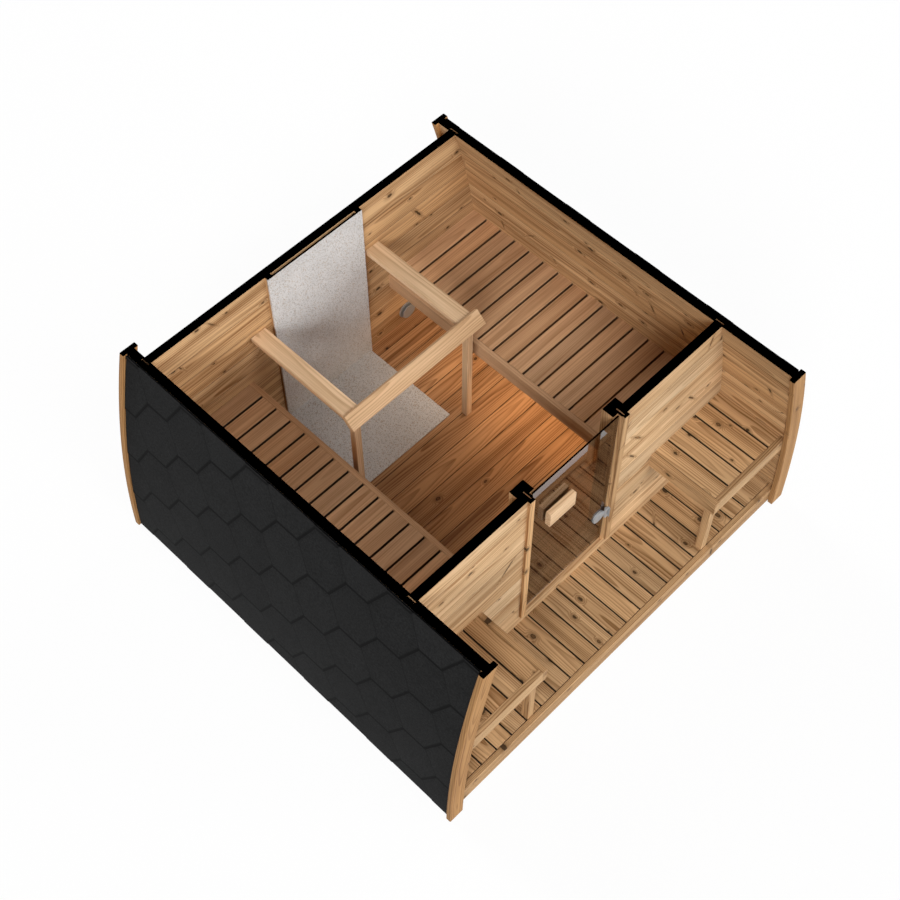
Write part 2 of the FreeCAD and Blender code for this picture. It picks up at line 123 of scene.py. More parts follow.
# Shader nodes
class Nodes:
    """Short names for building shader nodes."""

    def __init__(self, tree):
        self.tree = tree

    def new(self, kind):
        return self.tree.nodes.new("ShaderNode" + kind)

    def link(self, value, socket):
        if isinstance(value, bpy.types.NodeSocket):
            self.tree.links.new(value, socket)
        else:
            socket.default_value = value

    def math(self, operation, a, b=0.0, c=0.0, clamp=False):
        node = self.new("Math")
        node.operation = operation
        node.use_clamp = clamp
        for value, socket in zip((a, b, c), node.inputs):
            self.link(value, socket)
        return node.outputs[0]

    def centred(self, value, width):
        """A value from 0 to 1, spread over a width with zero in its middle."""
        return self.math("MULTIPLY_ADD", value, width, -0.5 * width)

    def vector(self, operation, a, b=(0, 0, 0), c=(0, 0, 0)):
        node = self.new("VectorMath")
        node.operation = operation
        for value, socket in zip((a, b, c), node.inputs):
            self.link(value, socket)
        return node.outputs[0]

    def scale(self, vector, factor):
        node = self.new("VectorMath")
        node.operation = "SCALE"
        self.link(vector, node.inputs[0])
        self.link(factor, node.inputs["Scale"])
        return node.outputs[0]

    def attribute(self, name, output="Vector"):
        node = self.new("Attribute")
        node.attribute_name = name
        return node.outputs[output]

    def position(self):
        return self.new("NewGeometry").outputs["Position"]

    def split(self, value):
        node = self.new("SeparateXYZ")
        self.link(value, node.inputs[0])
        return node.outputs

    def combine(self, x, y, z):
        node = self.new("CombineXYZ")
        for value, socket in zip((x, y, z), node.inputs):
            self.link(value, socket)
        return node.outputs[0]

    def noise(self, vector, scale, detail, roughness=0.5):
        node = self.new("TexNoise")
        self.link(vector, node.inputs["Vector"])
        node.inputs["Scale"].default_value = scale
        node.inputs["Detail"].default_value = detail
        node.inputs["Roughness"].default_value = roughness
        return node.outputs[0]

    def voronoi(self, vector, scale, dimensions="3D"):
        node = self.new("TexVoronoi")
        node.voronoi_dimensions = dimensions
        self.link(vector, node.inputs["Vector"])
        node.inputs["Scale"].default_value = scale
        return node.outputs["Distance"], node.outputs["Color"]

    def ramp(self, value, low, high, out_low=0.0, out_high=1.0):
        node = self.new("MapRange")
        node.interpolation_type = "SMOOTHSTEP"
        self.link(value, node.inputs["Value"])
        ends = (("From Min", low), ("From Max", high), ("To Min", out_low), ("To Max", out_high))
        for key, number in ends:
            self.link(number, node.inputs[key])
        return node.outputs[0]

    def mix(self, factor, a, b, blend="MIX"):
        node = self.new("Mix")
        node.data_type = "RGBA"
        node.blend_type = blend
        self.link(factor, node.inputs[0])
        self.link(a, node.inputs[6])
        self.link(b, node.inputs[7])
        return node.outputs[2]

    def mix_shaders(self, factor, a, b):
        node = self.new("MixShader")
        for value, socket in zip((factor, a.outputs[0], b.outputs[0]), node.inputs):
            self.link(value, socket)
        return node.outputs[0]

    def bump(self, height, strength, distance):
        node = self.new("Bump")
        self.link(height, node.inputs["Height"])
        node.inputs["Strength"].default_value = strength
        node.inputs["Distance"].default_value = distance
        return node.outputs[0]


def empty_material(name):
    """A new material, its nodes and the socket that its surface goes to."""
    material = bpy.data.materials.new(name)
    material.use_nodes = True
    material.node_tree.nodes.clear()
    n = Nodes(material.node_tree)
    return material, n, n.new("OutputMaterial").inputs["Surface"]


def principled_material(name):
    material, n, surface = empty_material(name)
    shader = n.new("BsdfPrincipled")
    n.link(shader.outputs[0], surface)
    return material, n, shader


# Pine: lengths in its functions are metres on the board
def knot_cells(n, where, per_metre, share, smallest, spread):
    """Knots in some cells of an uneven grid: the knot, its paler heart and the bent grain round it."""
    distance, tint = n.voronoi(where, per_metre, "2D")
    distance = n.math("DIVIDE", distance, per_metre)
    chance, size, paleness = n.split(tint)
    radius = n.math("MULTIPLY_ADD", size, spread, smallest)
    present = n.math("LESS_THAN", chance, share)
    inside = n.math("SUBTRACT", radius, distance)
    relative = n.math("DIVIDE", distance, radius)
    core = n.math("MULTIPLY", n.ramp(inside, -0.0008, 0.0012), present)
    around = n.math("MULTIPLY", n.ramp(relative, 3.4, 0.7), present)
    heart = n.math("MULTIPLY", n.ramp(relative, 0.85, 0.35), present)
    heart = n.math("MULTIPLY", heart, n.ramp(paleness, 0.35, 1.0))
    return core, heart, around


def round_knots(n, where, share):
    longer = n.vector("MULTIPLY", where, (0.6, 1.0, 1.0))
    return knot_cells(n, longer, per_metre=8.0, share=share, smallest=0.0035, spread=0.0065)


def spike_knots(n, where, lean, share):
    """Knots cut along their length, which cross the board at a lean."""
    along, across, _ = n.split(where)
    leaning = n.math("MULTIPLY_ADD", across, lean, along)
    thin = n.combine(n.math("MULTIPLY", leaning, 1.9), n.math("MULTIPLY", across, 0.42), 0.0)
    return knot_cells(n, thin, per_metre=6.0, share=share, smallest=0.006, spread=0.008)


def pine_knots(n, where, lean, knots, spikes):
    """Both kinds of knot together, with rough outlines."""
    rough = n.vector("SUBTRACT", n.noise(where, 75.0, 2.0).node.outputs["Color"], (0.5, 0.5, 0.5))
    uneven = n.vector("MULTIPLY_ADD", rough, (0.010, 0.007, 0.0), where)
    marks = round_knots(n, uneven, knots)
    if spikes:
        marks = [n.math("MAXIMUM", a, b) for a, b in zip(marks, spike_knots(n, uneven, lean, spikes))]
    return marks


def late_wood(n, grain, seed, where, around, ring, figure):
    """Late wood of rings round a pith below the board, bent by the figure and round the knots."""
    along, across, depth = n.split(grain)
    s_x, s_y, s_z = n.split(seed)
    wander = n.noise(n.vector("MULTIPLY", where, (1.3, 5.0, 5.0)), 1.0, 2.0)
    beside = n.math("SUBTRACT", across, n.centred(s_x, 0.13))
    below = n.math("ADD", depth, n.math("MULTIPLY_ADD", s_y, 0.05, 0.03))
    squares = n.math("ADD", n.math("MULTIPLY", beside, beside), n.math("MULTIPLY", below, below))
    reach = n.math("MULTIPLY_ADD", wander, figure, n.math("SQRT", squares))
    reach = n.math("MULTIPLY_ADD", around, 0.018, reach)
    reach = n.math("MULTIPLY_ADD", along, n.centred(s_z, 0.03), reach)
    phase = n.math("FRACT", n.math("DIVIDE", reach, ring))
    return n.math("MULTIPLY", n.ramp(phase, 0.3, 0.9), n.ramp(phase, 1.0, 0.92))


def board_tone(n, colour, seed, tone):
    """Some boards are redder, and each has a brightness of its own."""
    s_x, s_y, s_z = n.split(seed)
    redder = n.mix(1.0, colour, (1.0, 0.90, 0.78, 1), "MULTIPLY")
    colour = n.mix(n.math("MULTIPLY", s_x, 0.6), colour, redder)
    return n.scale(colour, n.math("MULTIPLY_ADD", n.math("ADD", s_y, s_z), tone, 1.0 - tone))


def knot_colours(n, colour, dark, core, heart, around):
    for mark, strength, share in ((around, 0.5, 0.7), (core, 0.92, 0.2), (heart, 1.0, 0.9)):
        tone = [share * c for c in dark]
        colour = n.mix(n.math("MULTIPLY", mark, strength), colour, (*tone, 1))
    return colour


def wood(name, light, dark, ring, contrast, streaks, bands, knots, spikes, tone, figure=0.055):
    """Pine from each board's own length, width and depth (grain) and its three random numbers (seed), with
    painted shade darkening the sides of the gaps between boards.
    """
    material, n, shader = principled_material(name)
    grain = n.attribute("grain")
    seed = n.attribute("seed")
    where = n.vector("MULTIPLY_ADD", seed, (37.0, 11.0, 5.0), grain)
    lean = n.centred(n.split(seed)[2], 2.4)
    core, heart, around = pine_knots(n, where, lean, knots, spikes)
    late = late_wood(n, grain, seed, where, around, ring, figure)
    fibre = n.noise(n.vector("MULTIPLY", where, (3.0, 170.0, 170.0)), 1.0, 3.0, 0.65)
    band = n.noise(n.vector("MULTIPLY", where, (0.9, 24.0, 24.0)), 1.0, 3.0, 0.55)
    shade = n.math("MULTIPLY_ADD", late, contrast, 0.32 - 0.3 * contrast)
    shade = n.math("ADD", shade, n.centred(fibre, streaks))
    shade = n.math("ADD", shade, n.centred(band, 2.2 * bands), clamp=True)
    colour = board_tone(n, n.mix(shade, (*light, 1), (*dark, 1)), seed, tone)
    colour = knot_colours(n, colour, dark, core, heart, around)
    # Painted shade: the sides of each gap between boards are darkened to 7 percent, where shade falls in
    # the gap.
    in_shaded_gap = n.math("MULTIPLY_ADD", n.attribute("painted_gap_shade", "Fac"), -0.93, 1.0)
    n.link(n.scale(colour, in_shaded_gap), shader.inputs["Base Color"])
    n.link(n.math("MULTIPLY_ADD", fibre, 0.16, 0.58), shader.inputs["Roughness"])
    shader.inputs["Specular IOR Level"].default_value = 0.25
    height = n.math("MULTIPLY_ADD", fibre, 0.6, n.math("MULTIPLY", late, -0.4))
    n.link(n.bump(height, 0.35, 0.0008), shader.inputs["Normal"])
    return material


WALL_WOOD = wood(
    "wall_pine", light=(0.60, 0.39, 0.205), dark=(0.225, 0.108, 0.039), ring=0.012,
    contrast=0.5, streaks=0.7, bands=1.05, knots=0.5, spikes=0.12, tone=0.14,
)
FRONT_WOOD = wood(
    "front_pine", light=(0.71, 0.515, 0.315), dark=(0.32, 0.165, 0.060), ring=0.013,
    contrast=0.45, streaks=0.65, bands=1.0, knots=0.28, spikes=0.11, tone=0.12,
)
TRIM_WOOD = wood(
    "trim_pine", light=(0.51, 0.285, 0.116), dark=(0.23, 0.105, 0.034), ring=0.008,
    contrast=0.5, streaks=1.0, bands=0.8, knots=0.25, spikes=0.0, tone=0.08,
)
BENCH_WOOD = wood(
    "bench_pine", light=(0.60, 0.37, 0.21), dark=(0.33, 0.175, 0.082), ring=0.006,
    contrast=0.35, streaks=1.0, bands=0.8, knots=0.0, spikes=0.0, tone=0.16, figure=0.016,
)
GUARD_WOOD = wood(
    "guard_pine", light=(0.78, 0.555, 0.35), dark=(0.41, 0.235, 0.11), ring=0.008,
    contrast=0.4, streaks=0.95, bands=0.7, knots=0.0, spikes=0.0, tone=0.06, figure=0.03,
)
FLOOR_WOOD = wood(
    "floor_pine", light=(0.49, 0.28, 0.14), dark=(0.17, 0.075, 0.027), ring=0.0062,
    contrast=0.55, streaks=0.95, bands=0.95, knots=0.15, spikes=0.0, tone=0.22, figure=0.024,
)
DECK_WOOD = wood(
    "deck_pine", light=(0.57, 0.37, 0.195), dark=(0.20, 0.098, 0.034), ring=0.0068,
    contrast=0.55, streaks=0.7, bands=0.95, knots=0.75, spikes=0.1, tone=0.22, figure=0.035,
)
HIDDEN_WOOD = wood(
    "hidden_pine", light=(0.42, 0.26, 0.13), dark=(0.28, 0.15, 0.07), ring=0.010,
    contrast=0.4, streaks=0.5, bands=0.5, knots=0.3, spikes=0.0, tone=0.1,
)


# Other materials
def section_black():
    """The cut faces of the level section."""
    material, _, shader = principled_material("section_black")
    shader.inputs["Base Color"].default_value = (0.0, 0.0, 0.0, 1)
    shader.inputs["Roughness"].default_value = 1.0
    shader.inputs["Specular IOR Level"].default_value = 0.0
    return material


def tab_edge_shade(n, along, up):
    """Painted shade along a tab's foot and slanting sides, strongest near them and on the front side most
    of all.
    """
    slope = math.hypot(COURSE, SLANT)
    over_foot = n.math("MULTIPLY", up, 1 / MM)
    lifted = n.math("MULTIPLY", over_foot, SLANT / slope)
    half_foot = FLAT / 2 * COURSE / slope
    across = COURSE / slope / MM
    from_front = n.math("ADD", n.math("MULTIPLY_ADD", along, across, half_foot), lifted)
    from_back = n.math("ADD", n.math("MULTIPLY_ADD", along, -across, half_foot), lifted)
    strong = n.ramp(n.math("MINIMUM", over_foot, from_front), 17.0, 8.0)
    return n.math("MAXIMUM", strong, n.ramp(from_back, 8.0, 3.0, 0.0, 0.55))


def shingle_felt():
    """Charcoal mineral granules on bitumen felt, with painted shade darkening each tab along its lower
    edges.
    """
    material, n, shader = principled_material("shingle_felt")
    grain = n.attribute("grain")
    seed = n.attribute("seed")
    along, up, _ = n.split(grain)
    where = n.vector("MULTIPLY_ADD", seed, (9.0, 7.0, 5.0), grain)
    granules = n.noise(where, 300.0, 2.0, 0.7)
    clumps = n.noise(where, 105.0, 2.0, 0.8)
    cloud = n.noise(where, 9.0, 3.0)
    level = n.math("MULTIPLY_ADD", granules, 1.0, -0.95)
    level = n.math("MULTIPLY_ADD", clumps, 2.2, level)
    level = n.math("MULTIPLY_ADD", cloud, 0.45, level)
    level = n.math("MULTIPLY_ADD", n.split(seed)[0], 0.16, level)
    # Painted shade: up to 85 percent darker along each tab's foot and front slanting side, and fainter
    # along its back side.
    level = n.math("MULTIPLY", level, n.math("MULTIPLY_ADD", tab_edge_shade(n, along, up), -0.85, 1.0))
    n.link(n.scale((0.0155, 0.0156, 0.0158), level), shader.inputs["Base Color"])
    shader.inputs["Roughness"].default_value = 0.95
    shader.inputs["Specular IOR Level"].default_value = 0.12
    n.link(n.bump(granules, 0.6, 0.0012), shader.inputs["Normal"])
    return material


def cement_board():
    """Pale grey fibre cement, densely flecked with grey, brown and black."""
    material, n, shader = principled_material("cement_board")
    grain = n.attribute("grain")
    cloud = n.noise(grain, 6.0, 3.0)
    fine = n.noise(grain, 230.0, 2.0, 0.7)
    base = n.mix(n.ramp(cloud, 0.3, 0.7), (0.60, 0.60, 0.60, 1), (0.65, 0.65, 0.65, 1))
    base = n.mix(n.ramp(fine, 0.45, 0.75, 0.0, 0.7), base, (0.33, 0.33, 0.325, 1))
    flecks = ((190.0, 0.42, (0.24, 0.23, 0.22, 1)), (135.0, 0.22, (0.38, 0.29, 0.20, 1)))
    for per_metre, share, tone in flecks:
        distance, tint = n.voronoi(grain, per_metre)
        present = n.math("LESS_THAN", n.split(tint)[0], share)
        fleck = n.math("MULTIPLY", n.ramp(distance, 0.5, 0.3), present)
        base = n.mix(n.math("MULTIPLY", fleck, 0.78), base, tone)
    n.link(base, shader.inputs["Base Color"])
    shader.inputs["Roughness"].default_value = 0.8
    shader.inputs["Specular IOR Level"].default_value = 0.25
    n.link(n.bump(fine, 0.25, 0.0005), shader.inputs["Normal"])
    return material


def satin_metal(name, colour):
    """Bead-blasted metal with a fine brushed sheen."""
    material, n, shader = principled_material(name)
    lines = n.noise(n.vector("MULTIPLY", n.position(), (60.0, 60.0, 900.0)), 1.0, 2.0)
    darker = [0.88 * c for c in colour]
    n.link(n.mix(lines, (*darker, 1), (*colour, 1)), shader.inputs["Base Color"])
    shader.inputs["Metallic"].default_value = 0.35
    n.link(n.math("MULTIPLY_ADD", lines, 0.15, 0.38), shader.inputs["Roughness"])
    n.link(n.bump(lines, 0.08, 0.0003), shader.inputs["Normal"])
    return material


def smoked_glass():
    """Bronze toughened glass that lets tinted light through."""
    material, n, surface = empty_material("smoked_glass")
    shader = n.new("BsdfPrincipled")
    haze = n.noise(n.position(), 2.5, 2.0)
    tint = n.mix(haze, (0.315, 0.25, 0.20, 1), (0.34, 0.275, 0.22, 1))
    n.link(tint, shader.inputs["Base Color"])
    shader.inputs["Roughness"].default_value = 0.0
    shader.inputs["IOR"].default_value = 1.45
    shader.inputs["Transmission Weight"].default_value = 1.0
    clear = n.new("BsdfTransparent")
    clear.inputs["Color"].default_value = (0.10, 0.08, 0.06, 1)
    for_shadows = n.new("LightPath").outputs["Is Shadow Ray"]
    n.link(n.mix_shaders(for_shadows, shader, clear), surface)
    return material


BLACK = section_black()
FELT = shingle_felt()
CEMENT = cement_board()
STEEL = satin_metal("hinge_steel", (0.42, 0.44, 0.46))
GLASS = smoked_glass()


# Mesh pieces
class Piece:
    """Collects closed solids in millimetres and becomes one object that rides on a body."""

    def __init__(self, name, seed):
        self.name = name
        self.random = random.Random(seed)
        self.points = []
        self.grain = []
        self.seeds = []
        self.painted_gap_shades = []
        self.faces = []
        self.painted = []
        self.paint = 0

    def new_seed(self):
        return tuple(self.random.random() for _ in range(3))

    def point(self, where, grain, seed, painted_gap_shade=0.0):
        self.points.append(Vector(where) * MM)
        self.grain.append(Vector(grain) * MM)
        self.seeds.append(seed)
        self.painted_gap_shades.append(painted_gap_shade)
        return len(self.points) - 1

    def face(self, indices):
        kept = [a for k, a in enumerate(indices) if a != indices[k - 1]]
        if len(set(kept)) > 2:
            self.faces.append(kept)
            self.painted.append(self.paint)

    def loft(self, rings, grains, joint_at=None, shade=1.0):
        """A closed solid through rings; points over joint_at from the grain's middle get painted gap shade
        of strength shade.
        """
        seed = self.new_seed()
        rows = []
        for k, (ring, grain) in enumerate(zip(rings, grains)):
            row = []
            for i, (where, g) in enumerate(zip(ring, grain)):
                if k and (Vector(where) - Vector(rings[k - 1][i])).length < TINY:
                    row.append(rows[-1][i])
                else:
                    in_shaded_gap = joint_at and abs(g[1]) > joint_at and where[2] < TOP - AT_CUT
                    row.append(self.point(where, g, seed, shade if in_shaded_gap else 0.0))
            rows.append(row)
        for low, high in zip(rows, rows[1:]):
            for i in range(len(low)):
                j = (i + 1) % len(low)
                self.face([low[i], low[j], high[j], high[i]])
        self.face(rows[0][::-1])
        self.face(rows[-1])

    def mesh(self):
        """The mesh, with each point's grain, seed and painted gap shade, and all faces outward."""
        mesh = bpy.data.meshes.new(self.name)
        mesh.from_pydata(self.points, [], self.faces)
        for key, values in (("grain", self.grain), ("seed", self.seeds)):
            layer = mesh.attributes.new(key, "FLOAT_VECTOR", "POINT")
            layer.data.foreach_set("vector", [c for v in values for c in v])
        mesh.attributes.new("painted_gap_shade", "FLOAT", "POINT").data.foreach_set("value", self.painted_gap_shades)
        mesh.polygons.foreach_set("material_index", self.painted)
        work = bmesh.new()
        work.from_mesh(mesh)
        bmesh.ops.recalc_face_normals(work, faces=work.faces)
        work.to_mesh(mesh)
        work.free()
        return mesh

    def build(self, materials, body, nodes):
        """One object in place of CAD nodes; of several materials, the last is for faces at the cut."""
        mesh = self.mesh()
        for material in materials:
            mesh.materials.append(material)
        if len(materials) > 1:
            level = (TOP - AT_CUT) * MM
            for polygon in mesh.polygons:
                if all(mesh.vertices[v].co.z > level for v in polygon.vertices):
                    polygon.material_index = len(materials) - 1
        thing = bpy.data.objects.new(self.name, mesh)
        bpy.context.scene.collection.objects.link(thing)
        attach(thing, body)
        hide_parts(*nodes)


def chamfered(corners, sizes):
    """A polygon with each corner cut back by its size, or all of them by one size."""
    if not isinstance(sizes, (list, tuple)):
        sizes = [sizes] * len(corners)
    out = []
    for k, (corner, size) in enumerate(zip(corners, sizes)):
        if size <= 0:
            out.append(corner)
            continue
        here = Vector(corner)
        for other in (corners[k - 1], corners[(k + 1) % len(corners)]):
            out.append(tuple(here + (Vector(other) - here).normalized() * size))
    return out


def rectangle(low_u, low_v, high_u, high_v):
    return [(low_u, low_v), (high_u, low_v), (high_u, high_v), (low_u, high_v)]


# Each direction of a board, with the two axes that its section lies in
AXES = {"x": (0, 1, 2), "y": (1, 0, 2), "z": (2, 0, 1)}


def board(piece, along, section, start, end, shade=0.0):
    """A straight board with a section across its axis; ends may slant and shade is the strength of the
    painted shade in its joints.
    """
    first, second, third = AXES[along]
    low_u = min(u for u, v in section)
    high_u = max(u for u, v in section)
    low_v = min(v for u, v in section)
    high_v = max(v for u, v in section)
    upright = high_v - low_v > high_u - low_u
    rings = []
    grains = []
    for stop in (start, end):
        ring = []
        grain = []
        for u, v in section:
            where = [0.0, 0.0, 0.0]
            where[first] = stop(u, v) if callable(stop) else stop
            where[second] = u
            where[third] = v
            off_u = u - (low_u + high_u) / 2
            off_v = v - (low_v + high_v) / 2
            ring.append(where)
            grain.append((where[first], off_v, off_u) if upright else (where[first], off_u, off_v))
        rings.append(ring)
        grains.append(grain)
    half_width = max(high_u - low_u, high_v - low_v) / 2
    piece.loft(rings, grains, half_width - JOINT_DEPTH, shade)


def bar(piece, along, low, high, edge):
    """A straight bar between two opposite corners, with its long edges chamfered."""
    first, second, third = AXES[along]
    section = rectangle(low[second], low[third], high[second], high[third])
    board(piece, along, chamfered(section, edge), low[first], high[first])


def spans(gaps, low, high, width):
    """Board edges between low and high, with gaps of a width at the given places."""
    edges = [low]
    for gap in sorted(g for g in gaps if low < g < high):
        edges += [gap - width / 2, gap + width / 2]
    edges.append(high)
    return list(zip(edges[::2], edges[1::2]))


def tongues(boards):
    """The spaces that tongues fill between boards that follow each other."""
    bite = 0.5
    return [(before[1] - bite, after[0] + bite) for before, after in zip(boards, boards[1:])]


# Side walls: boards along the cabin, grooved for the end walls
SIDE_TOP_JOINT = 1098.0
SIDE_EDGE_IN = 1.6
SIDE_EDGE_OUT = 0.8


def groove_stations():
    """Places along a side wall where its inner face steps, each with that face's radius."""
    stations = [(-HALF_LENGTH, R_INNER)]
    for low, high in ((FRONT_OUT, FRONT_IN), (BACK_IN, BACK_OUT)):
        stations += [(low, R_INNER), (low, R_GROOVE), (high, R_GROOVE), (high, R_INNER)]
    return stations + [(HALF_LENGTH, R_INNER)]


def grooved_board(piece, side, low, high):
    edges = [SIDE_EDGE_IN, SIDE_EDGE_OUT, SIDE_EDGE_OUT, SIDE_EDGE_IN]
    if high == TOP:
        edges[2:] = [0, 0]
    rings = []
    grains = []
    for y, inner in groove_stations():
        corners = [(wall_x(inner, low), low), (wall_x(R_BOARD, low), low)]
        corners += [(wall_x(R_BOARD, high), high), (wall_x(inner, high), high)]
        section = chamfered(corners, edges)
        rings.append([(side * x, y, z) for x, z in section])
        grains.append([(y, z - (low + high) / 2, x - wall_x(R_INNER, low)) for x, z in section])
    piece.loft(rings, grains, (high - low) / 2 - JOINT_DEPTH)


def side_wall(word, side):
    piece = Piece("side_wall_%s_boards" % word, 11 + side)
    joints = [SIDE_TOP_JOINT - BOARD_COVER * k for k in range(9)]
    boards = spans(joints, SIDE_BOTTOM, TOP, JOINT)
    for low, high in tongues(boards):
        section = rectangle(side * wall_x(R_TONGUE_IN, low), low, side * wall_x(R_TONGUE_OUT, low), high)
        board(piece, "y", section, -HALF_LENGTH, HALF_LENGTH, 1.0)
    for low, high in boards:
        grooved_board(piece, side, low, high)
    piece.build([WALL_WOOD, BLACK], "cabin", ["side_wall_" + word])


# End walls: level boards whose ends stand in slots in the side walls
BACK_TOP_JOINT = 1080.0
TONGUE_INSET = 18.0
WALL_PANEL_X = 291.0


def level_boards(piece, joints, low, high, y0, y1, ends):
    """Boards along X on each other, with tongues between them; ends holds their start and end."""
    boards = spans(joints, low, high, JOINT)
    sections = [rectangle(y0 + TONGUE_INSET, z0, y1 - TONGUE_INSET, z1) for z0, z1 in tongues(boards)]
    for z0, z1 in boards:
        top = 0 if z1 == TOP else WALL_EDGE
        sections.append(chamfered(rectangle(y0, z0, y1, z1), [WALL_EDGE, WALL_EDGE, top, top]))
    for section in sections:
        board(piece, "x", section, *ends, 1.0 if joints else 0.0)


def back_wall():
    piece = Piece("back_wall_boards", 21)
    joints = [BACK_TOP_JOINT - BOARD_COVER * k for k in range(8)]
    level_boards(piece, joints, WALL_BOTTOM, TOP, BACK_IN, BACK_OUT, wall_to_wall(R_END))
    piece.build([WALL_WOOD, BLACK], "cabin", ["back_wall"])


def front_wall_base():
    piece = Piece("front_wall_base_board", 22)
    level_boards(piece, [], WALL_BOTTOM, BASE_TOP, FRONT_OUT, FRONT_IN, wall_to_wall(R_END))
    piece.build([FRONT_WOOD], "cabin", ["front_wall_base"])


def front_wall(word, side):
    piece = Piece("front_wall_%s_boards" % word, 25 + side)
    joints = [BASE_TOP + BOARD_COVER * k for k in range(1, 8)]
    ends = out_to_wall(side, WALL_PANEL_X, R_END)
    level_boards(piece, joints, BASE_TOP, TOP, FRONT_OUT, FRONT_IN, ends)
    piece.build([FRONT_WOOD, BLACK], "cabin", ["front_wall_" + word])


# Trims at the ends of the side walls, bent to the arc
TRIM_THICKNESS = 27.0
TRIM_STEPS = 18
TRIM_EDGE = 2.5


def arc_trim(place, side, y0, y1, seed):
    piece = Piece("trim_%s_board" % place, seed)
    rings = []
    grains = []
    for k in range(TRIM_STEPS + 1):
        z = TOP * k / TRIM_STEPS
        section = chamfered(rectangle(wall_x(R_TRIM_INNER, z), y0, wall_x(R_TRIM, z), y1), TRIM_EDGE)
        middle = wall_x((R_TRIM + R_TRIM_INNER) / 2, z)
        rings.append([(side * x, y, z) for x, y in section])
        grains.append([(z, x - middle, y - (y0 + y1) / 2) for x, y in section])
    piece.loft(rings, grains)
    piece.build([TRIM_WOOD, BLACK], "cabin", ["trim_" + place])


def trims(word, side):
    end = HALF_LENGTH + TRIM_THICKNESS
    arc_trim("front_" + word, side, -end, -HALF_LENGTH, 31 + side)
    arc_trim("back_" + word, side, HALF_LENGTH, end, 35 + side)


# Shingles: six-sided tabs in courses, each lapping over the course below
# A place on the wall is y along it and s up it, measured round the arc
SKIN_LOW = R_SHINGLE * math.asin((SIDE_BOTTOM - ARC_Z) / R_SHINGLE)
SKIN_HIGH = R_SHINGLE * math.asin((TOP - ARC_Z) / R_SHINGLE)
SKIN_END = HALF_LENGTH - 5.0
SKIN_STEP = 52.5
BACKING_LIFT = 2.0
BACKING_THICKNESS = 1.9
BACKING_ORIGIN = (0.0, -500.0)
COURSE_START = 252.0
FIRST_TAB = 839.0
TAB_LAP = 8.0
TAB_EASE = 4.0
TAB_LIFT = 8.7
TAB_LEAN = 3.4
TAB_THICKNESS = 2.8


def clip(polygon, axis, value, keep_above):
    """The part of a polygon that lies above or below a value on one axis."""
    out = []
    for k, here in enumerate(polygon):
        before = polygon[k - 1]
        inside = (here[axis] >= value) == keep_above or abs(here[axis] - value) < TINY
        was_inside = (before[axis] >= value) == keep_above or abs(before[axis] - value) < TINY
        if inside != was_inside:
            t = (value - before[axis]) / (here[axis] - before[axis])
            crossing = [before[0] + t * (here[0] - before[0]), before[1] + t * (here[1] - before[1])]
            crossing[axis] = value
            out.append(tuple(crossing))
        if inside:
            out.append(tuple(here))
    return out


def clip_to_skin(outline):
    outline = clip(clip(outline, 0, -SKIN_END, True), 0, SKIN_END, False)
    return clip(clip(outline, 1, SKIN_LOW, True), 1, SKIN_HIGH, False)


def with_crossings(outline, levels):
    """The outline, with a point wherever it crosses one of the levels."""
    rim = []
    for (y0, s0), (y1, s1) in zip(outline, outline[1:] + outline[:1]):
        rim.append((y0, s0))
        crossed = [v for v in levels if min(s0, s1) + TINY < v < max(s0, s1) - TINY]
        for level in sorted(crossed, reverse=s1 < s0):
            rim.append((y0 + (level - s0) / (s1 - s0) * (y1 - y0), level))
    return rim


def without_repeats(polygon):
    """The polygon's points, less each that lies on the one before or on the first."""
    kept = []
    for place in polygon:
        if all(math.dist(place, other) > SAME_PLACE for other in kept[-1:] + kept[:1]):
            kept.append(place)
    return kept


def skin_point(side, y, s, lift):
    """The place in space of a point on the wall, at a height over the boards."""
    radius = R_BOARD + lift
    z = TOP if s > SKIN_HIGH - SNAP else ARC_Z + radius * math.sin(s / R_SHINGLE)
    return (side * wall_x(radius, z), y, z)


def skin_patch(piece, side, outline, origin, lift, thickness):
    """A thin plate that follows the bow, from its outline and the lift of its outer face at each s."""
    levels = [SKIN_LOW + SKIN_STEP * k for k in range(1, 30)]
    rim = with_crossings(outline, levels)
    seed = piece.new_seed()
    known = {}

    def index(place, outer):
        key = (round(place[0], 2), round(place[1], 2), outer)
        if key not in known:
            height = lift(place[1]) - (0 if outer else thickness)
            local = (place[0] - origin[0], place[1] - origin[1], height)
            known[key] = piece.point(skin_point(side, *place, height), local, seed)
        return known[key]

    low_end = min(s for y, s in rim)
    high_end = max(s for y, s in rim)
    bounds = [low_end, *(v for v in levels if low_end < v < high_end), high_end]
    for low, high in zip(bounds, bounds[1:]):
        band = without_repeats(clip(clip(rim, 1, low, True), 1, high, False))
        if len(band) > 2:
            piece.face([index(place, True) for place in band])
            piece.face([index(place, False) for place in band[::-1]])
    for here, after in zip(rim, rim[1:] + rim[:1]):
        piece.face([index(here, True), index(after, True), index(after, False), index(here, False)])


def tab_outline():
    """A tab about the middle of its foot: it widens up to the lap and narrows under the next course."""
    foot = FLAT / 2
    wide = foot + SLANT
    right = [(foot, 0), (wide, COURSE), (wide, COURSE + TAB_LAP), (foot + TAB_EASE, 2 * COURSE + TAB_LAP)]
    left = [(-y, s) for y, s in right]
    return left[:1] + right + left[:0:-1]


def shingle_tab(piece, side, middle_y, foot_s):
    outline = clip_to_skin([(middle_y + y, foot_s + s) for y, s in tab_outline()])
    if len(outline) > 2:
        skin_patch(
            piece, side, outline, (middle_y, foot_s),
            lambda s: TAB_LIFT - TAB_LEAN * (s - foot_s) / (2 * COURSE), TAB_THICKNESS,
        )


